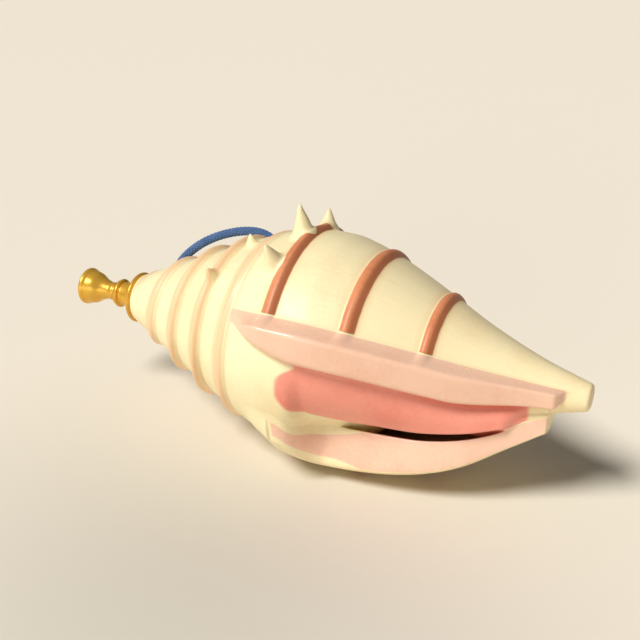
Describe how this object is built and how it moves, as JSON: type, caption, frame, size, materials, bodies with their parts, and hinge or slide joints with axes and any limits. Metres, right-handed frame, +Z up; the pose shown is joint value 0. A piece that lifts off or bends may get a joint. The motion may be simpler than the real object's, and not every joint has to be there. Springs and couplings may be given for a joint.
{
  "type": "conch shell horn",
  "caption": "Spindle-shaped conch shell lying on its side, with a coral mouth, raised brown bands, a brass blowing mouthpiece at the apex and a blue cord.",
  "frame": {"origin": "centre of the horn's box on the surface it lies on, without the cord", "axes": "+X along the shell's axis from the mouthpiece towards the canal, +Z up, the shell's mouth faces -Y"},
  "size_m": [0.345, 0.1494, 0.1594],
  "materials": {
    "shell": "satin, cream with brown bands, pink lips and a coral mouth",
    "brass": "polished",
    "cord": "braided, matte"
  },
  "bodies": {
    "root": {"shell": "shell", "ferrule": "brass", "mouthpiece": "brass", "cord": "cord"}
  },
  "joints": []
}
